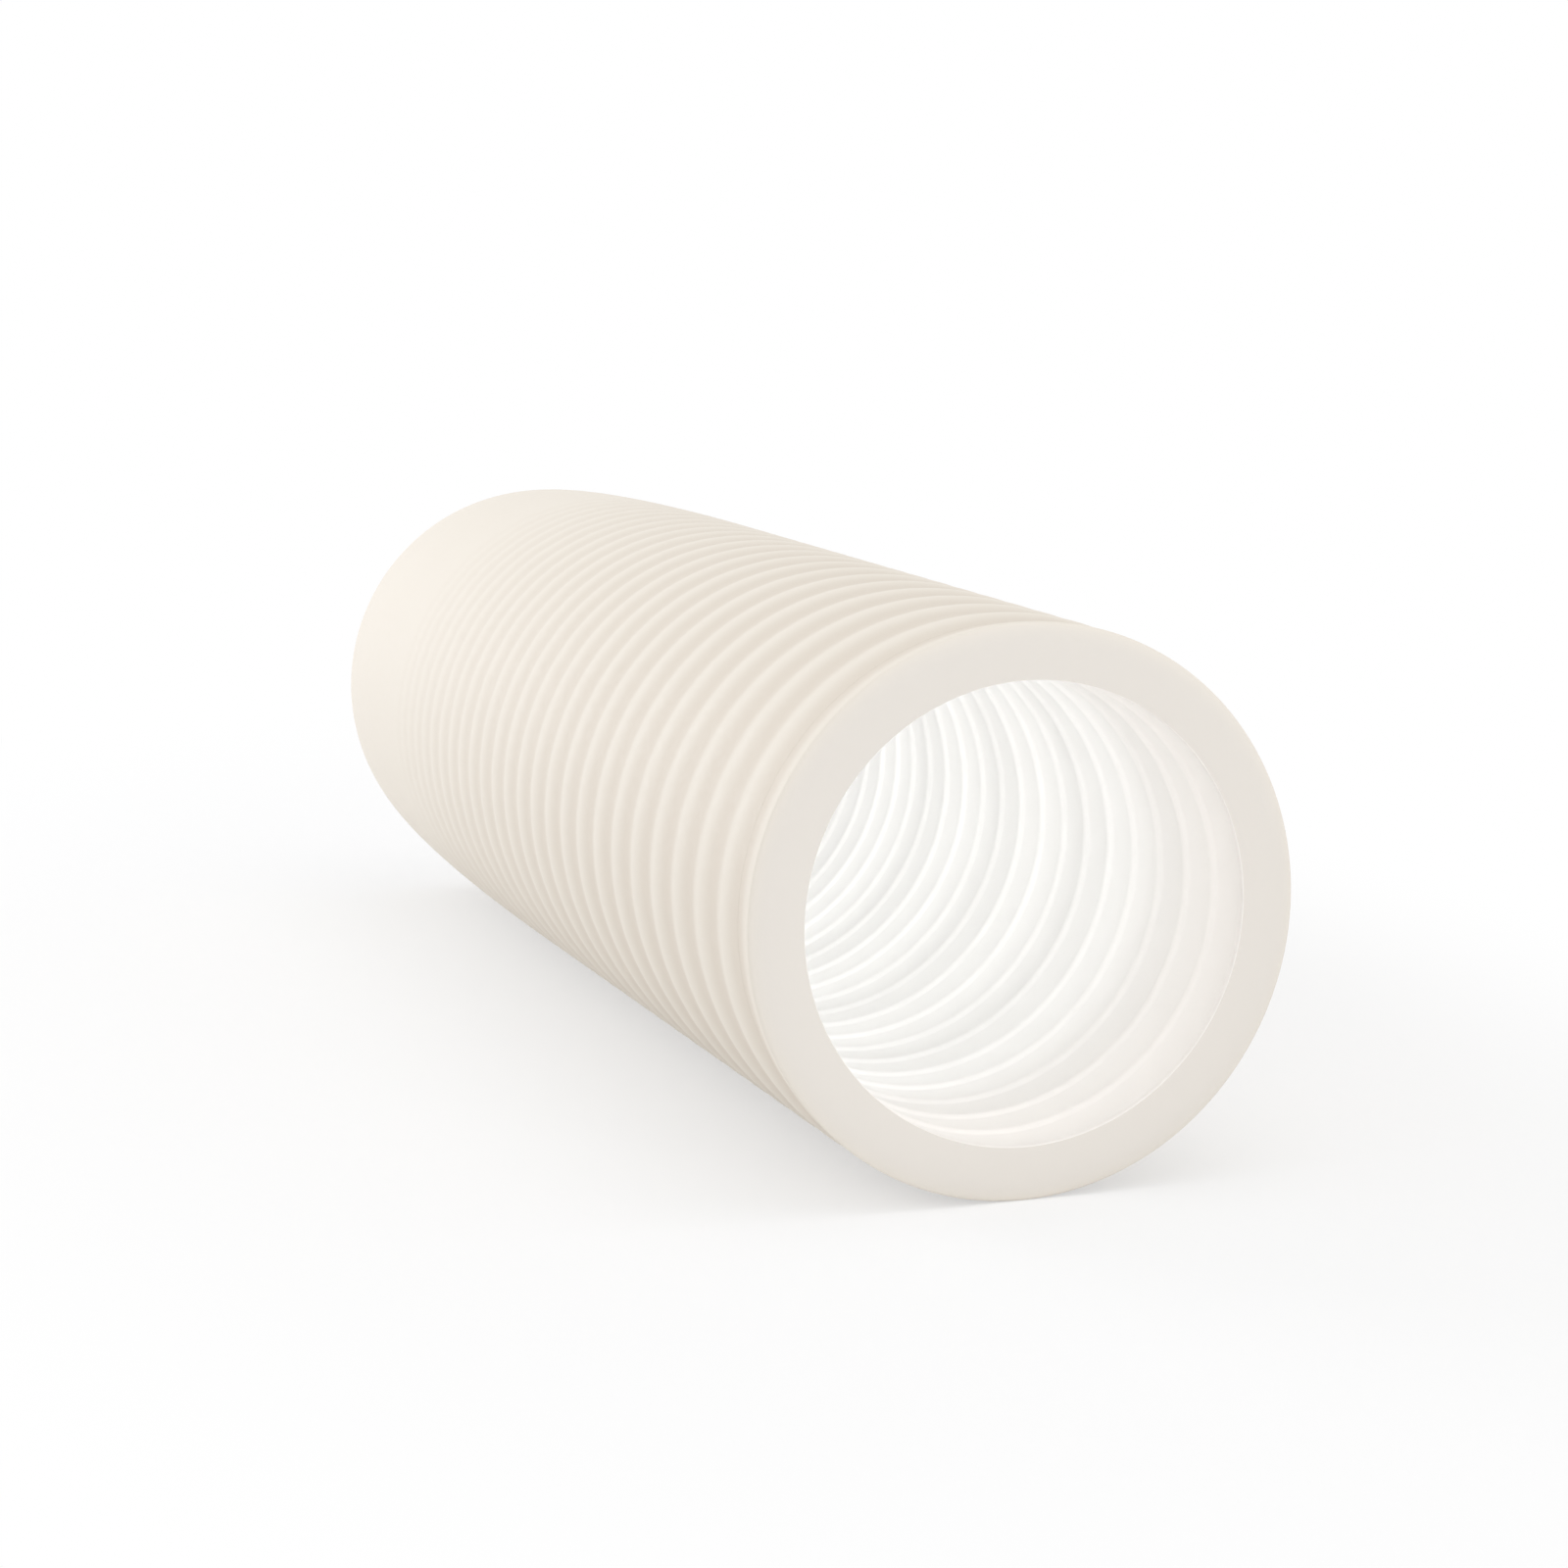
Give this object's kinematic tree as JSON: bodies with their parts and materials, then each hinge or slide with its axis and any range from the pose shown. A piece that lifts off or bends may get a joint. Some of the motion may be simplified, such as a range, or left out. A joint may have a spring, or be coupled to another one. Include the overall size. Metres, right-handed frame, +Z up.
{
  "type": "foam roller",
  "caption": "Hollow foam roller for massage: a rigid white core tube with a ridged bore, a soft cream sleeve with ring ribs and a soft ring over each end.",
  "frame": {"origin": "on the roller's axis, midway between the two end faces", "axes": "+Y along the axis towards the rear end, where the outside closes in, +Z up as the roller lies on its side, +X to the right of someone who looks along +Y"},
  "size_m": [0.1466, 0.45, 0.1466],
  "materials": {
    "core": "matt white moulded plastic, slightly translucent",
    "foam": "matt cream closed-cell foam with a smooth skin",
    "end_ring": "matt cream closed-cell foam with a smooth skin"
  },
  "bodies": {
    "root": {"core_tube": "core", "foam_sleeve": "foam", "front_end_ring": "end_ring", "rear_end_ring": "end_ring"}
  },
  "joints": []
}
